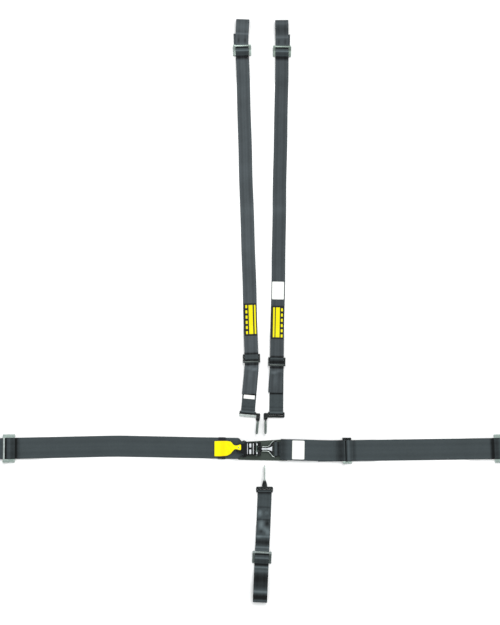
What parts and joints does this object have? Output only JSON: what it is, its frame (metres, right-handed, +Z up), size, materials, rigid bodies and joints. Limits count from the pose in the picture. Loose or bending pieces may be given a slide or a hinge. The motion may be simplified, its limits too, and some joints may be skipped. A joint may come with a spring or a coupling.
{
  "type": "racing harness",
  "caption": "Racing harness laid flat: lap belts joined by a lever latch and link, two shoulder belts and a crotch belt with slotted end fittings, slide adjusters and wrap-around ends.",
  "frame": {"origin": "on the floor under the latch, at the underside of the buckle pad", "axes": "+X along the right lap belt, +Y towards the shoulder loops, +Z up from the floor the harness lies on"},
  "size_m": [1.9998, 2.1622, 0.0231],
  "materials": {
    "webbing": "woven polyester webbing, charcoal, lengthwise ribs with a soft sheen",
    "dark_tape": "black woven tape",
    "white_label": "white satin label tape",
    "yellow_tag": "bright yellow coated tag",
    "black_steel": "gloss black steel with bright worn edges",
    "silver_slide": "bright zinc plate",
    "dark_slide": "dark satin zinc plate",
    "satin_steel": "grey-green satin plated steel"
  },
  "bodies": {
    "latch": {"latch_base": "black_steel", "lever_pivot_pin": "satin_steel", "lever_spring": "satin_steel", "left_lap_webbing": "webbing", "lap_fold_keeper": "dark_tape"},
    "lever": {"latch_lever": "black_steel", "release_tag_anchor": "yellow_tag", "tag_rivet": "silver_slide"},
    "tag": {"release_tag": "yellow_tag"},
    "link": {"link_plate": "black_steel", "link_loop_webbing": "webbing", "buckle_pad": "webbing", "inner_lap_webbing": "webbing", "lap_label": "white_label", "lap_adjuster": "black_steel"},
    "right_lap": {"right_lap_webbing": "webbing"},
    "left_lap_end": {"left_lap_slide": "silver_slide", "left_lap_tail": "webbing"},
    "right_lap_end": {"right_lap_slide": "silver_slide", "right_lap_tail": "webbing"},
    "left_shoulder_lower": {"left_shoulder_adjuster": "black_steel", "left_lower_webbing": "webbing", "left_shoulder_fitting": "satin_steel", "left_lower_label": "white_label"},
    "left_shoulder": {"left_shoulder_webbing": "webbing", "left_shoulder_emblem": "dark_tape"},
    "left_shoulder_end": {"left_shoulder_slide": "silver_slide", "left_shoulder_tail": "webbing"},
    "right_shoulder_lower": {"right_shoulder_adjuster": "black_steel", "right_lower_webbing": "webbing", "right_shoulder_fitting": "satin_steel"},
    "right_shoulder": {"right_shoulder_webbing": "webbing", "right_shoulder_emblem": "dark_tape", "right_shoulder_label": "white_label"},
    "right_shoulder_end": {"right_shoulder_slide": "silver_slide", "right_shoulder_tail": "webbing"},
    "crotch": {"crotch_webbing": "webbing", "crotch_fitting": "satin_steel"},
    "crotch_end": {"crotch_slide": "dark_slide", "crotch_tail": "webbing"}
  },
  "joints": [
    {"name": "lever_hinge", "type": "hinge", "parent": "latch", "child": "lever", "pos_m": [-0.02, 0, 0.016], "axis": [0, 1, 0], "range_deg": [0, 100], "stiffness_Nm_per_rad": 0.02, "springref_deg": -11.46},
    {"name": "tag_fold", "type": "hinge", "parent": "lever", "child": "tag", "pos_m": [-0.09345, 0, 0.0189], "axis": [0, 1, 0], "range_deg": [0, 90]},
    {"name": "link_slide", "type": "slide", "parent": "latch", "child": "link", "axis": [1, 0, 0], "range_m": [0, 0.05]},
    {"name": "right_lap_adjust", "type": "slide", "parent": "link", "child": "right_lap", "axis": [-0.9999, -0.014, 0], "range_m": [0, 0.06]},
    {"name": "left_lap_end_adjust", "type": "slide", "parent": "latch", "child": "left_lap_end", "axis": [0.9997, 0.023, 0], "range_m": [0, 0.06]},
    {"name": "right_lap_end_adjust", "type": "slide", "parent": "right_lap", "child": "right_lap_end", "axis": [-0.9999, -0.014, 0], "range_m": [0, 0.06]},
    {"name": "left_shoulder_reach", "type": "slide", "parent": "latch", "child": "left_shoulder_lower", "axis": [0, -1, 0], "range_m": [-0.06, 0.012]},
    {"name": "left_shoulder_adjust", "type": "slide", "parent": "left_shoulder_lower", "child": "left_shoulder", "axis": [0.03, -0.9995, 0], "range_m": [0, 0.045]},
    {"name": "left_shoulder_end_adjust", "type": "slide", "parent": "left_shoulder", "child": "left_shoulder_end", "axis": [0.03, -0.9995, 0], "range_m": [0, 0.06]},
    {"name": "right_shoulder_reach", "type": "slide", "parent": "latch", "child": "right_shoulder_lower", "axis": [0, -1, 0], "range_m": [-0.06, 0.012]},
    {"name": "right_shoulder_adjust", "type": "slide", "parent": "right_shoulder_lower", "child": "right_shoulder", "axis": [-0.0206, -0.9998, 0], "range_m": [0, 0.05]},
    {"name": "right_shoulder_end_adjust", "type": "slide", "parent": "right_shoulder", "child": "right_shoulder_end", "axis": [-0.0206, -0.9998, 0], "range_m": [0, 0.06]},
    {"name": "crotch_reach", "type": "slide", "parent": "latch", "child": "crotch", "axis": [0, 1, 0], "range_m": [-0.06, 0.012]},
    {"name": "crotch_end_adjust", "type": "slide", "parent": "crotch", "child": "crotch_end", "axis": [0.0471, 0.9989, 0], "range_m": [0, 0.06]}
  ],
  "couplings": [
    {"joint": "link_slide", "follows": "lever_hinge", "m_per_rad": 0.0286}
  ]
}
